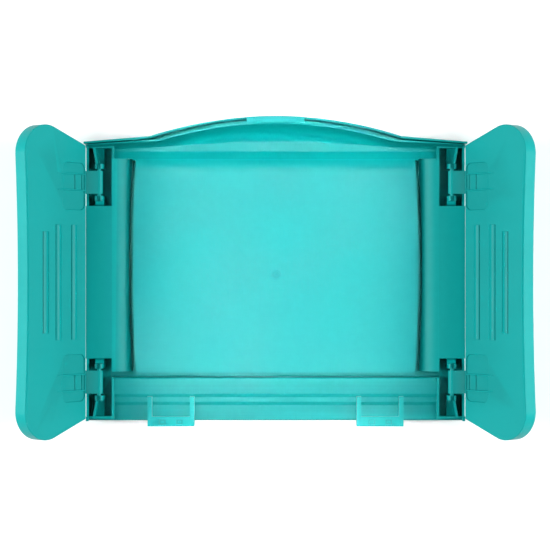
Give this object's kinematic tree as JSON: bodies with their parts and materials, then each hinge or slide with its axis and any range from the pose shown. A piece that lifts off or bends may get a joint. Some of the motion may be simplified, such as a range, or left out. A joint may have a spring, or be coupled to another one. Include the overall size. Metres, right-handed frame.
{
  "type": "hinged storage case lid with latch flaps",
  "caption": "Moulded plastic case lid, inside up, with a full-width snap-hinged latch flap at each end, rear hinge loops and an arched double front wall.",
  "frame": {"origin": "middle of the whole object's footprint, on the plane that the lid's outer face rests on", "axes": "+X along the lid to the right-hand flap, +Y to the finger-tab side (front), +Z out of the lid's open inside"},
  "size_m": [0.5062, 0.321, 0.0905],
  "materials": {
    "lid_plastic": "semi-gloss moulded turquoise",
    "flap_plastic": "semi-gloss moulded turquoise",
    "clip_plastic": "semi-gloss moulded turquoise"
  },
  "bodies": {
    "lid": {"lid_shell": "lid_plastic", "front_skirt": "lid_plastic", "finger_tab": "lid_plastic", "left_hinge_loop": "lid_plastic", "right_hinge_loop": "lid_plastic", "left_front_pin_clips": "clip_plastic", "left_rear_pin_clips": "clip_plastic", "right_front_pin_clips": "clip_plastic", "right_rear_pin_clips": "clip_plastic"},
    "left_flap": {"left_flap_panel": "flap_plastic", "left_flap_rim": "flap_plastic", "left_catch_ridges": "flap_plastic", "left_front_hinge_tab": "flap_plastic", "left_front_hinge_pin": "clip_plastic", "left_rear_hinge_tab": "flap_plastic", "left_rear_hinge_pin": "clip_plastic"},
    "right_flap": {"right_flap_panel": "flap_plastic", "right_flap_rim": "flap_plastic", "right_catch_ridges": "flap_plastic", "right_front_hinge_tab": "flap_plastic", "right_front_hinge_pin": "clip_plastic", "right_rear_hinge_tab": "flap_plastic", "right_rear_hinge_pin": "clip_plastic"}
  },
  "joints": [
    {"name": "left_flap_hinge", "type": "hinge", "parent": "lid", "child": "left_flap", "pos_m": [-0.1768, -0.0057, 0.026], "axis": [0, 1, 0], "range_deg": [0, 42]},
    {"name": "right_flap_hinge", "type": "hinge", "parent": "lid", "child": "right_flap", "pos_m": [0.1768, -0.0057, 0.026], "axis": [0, -1, 0], "range_deg": [0, 42]}
  ]
}
